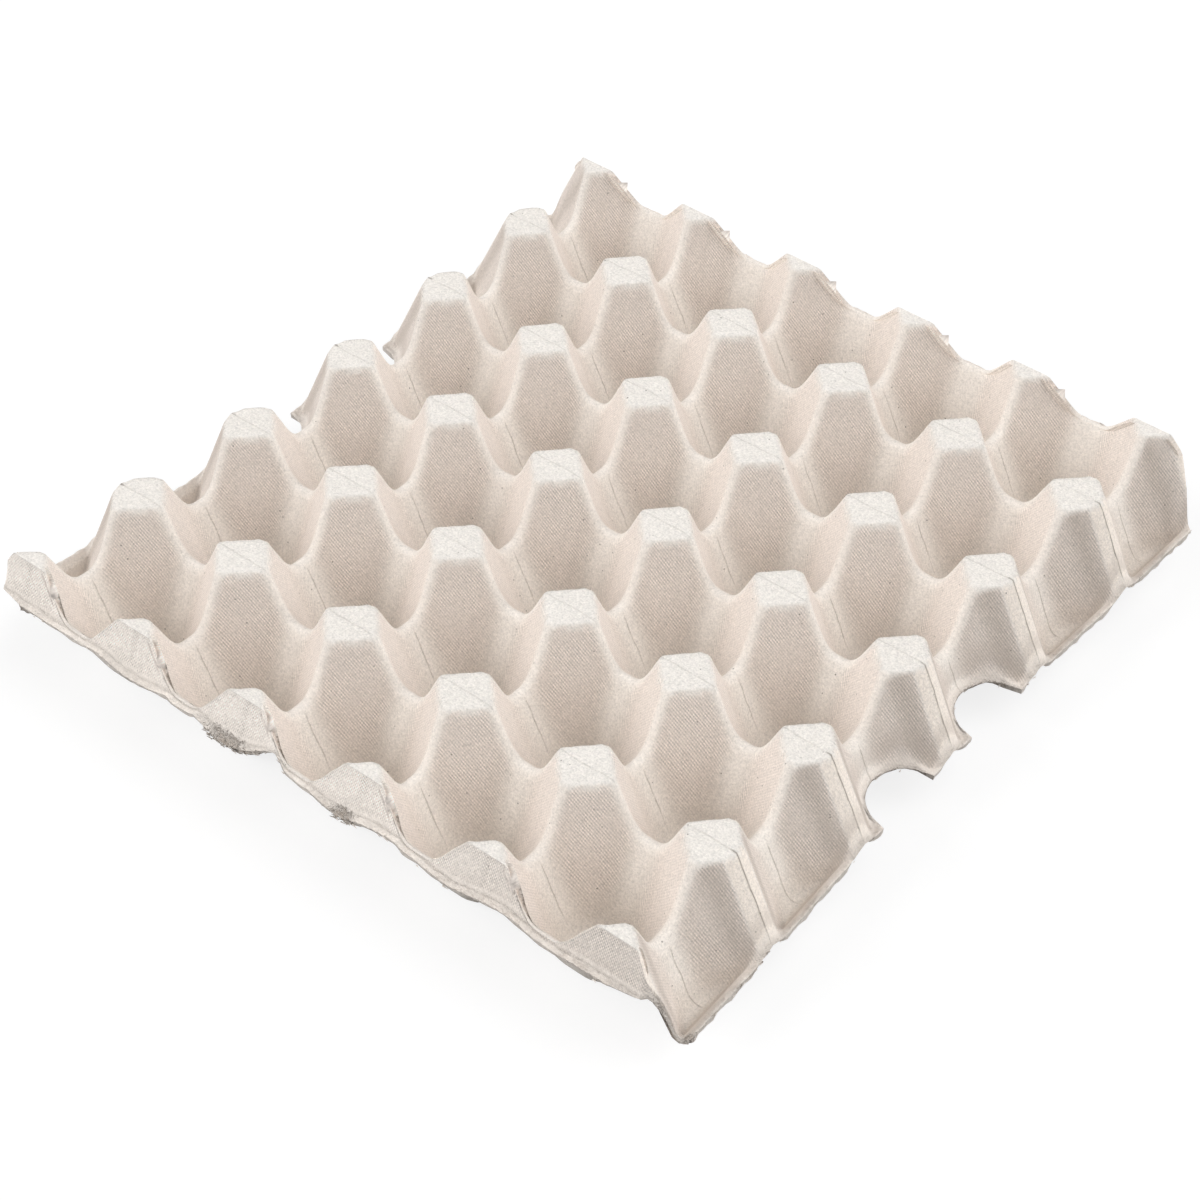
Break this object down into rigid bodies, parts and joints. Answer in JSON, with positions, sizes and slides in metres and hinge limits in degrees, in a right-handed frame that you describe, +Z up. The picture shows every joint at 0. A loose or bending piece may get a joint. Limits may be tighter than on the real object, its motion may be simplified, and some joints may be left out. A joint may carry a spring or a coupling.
{
  "type": "egg tray",
  "caption": "Moulded paper pulp egg tray with rows of blunt square posts around open cells, a low flange along two sides and finger notches.",
  "frame": {"origin": "centre of the tray's plan, on the flat the cell floors stand on", "axes": "+Z up, out of the cells; +X across the tray to one flanged side; +Y along the tray to one walled end"},
  "size_m": [0.2856, 0.3044, 0.048],
  "materials": {
    "pulp": "matte"
  },
  "bodies": {
    "root": {"tray": "pulp"}
  },
  "joints": []
}
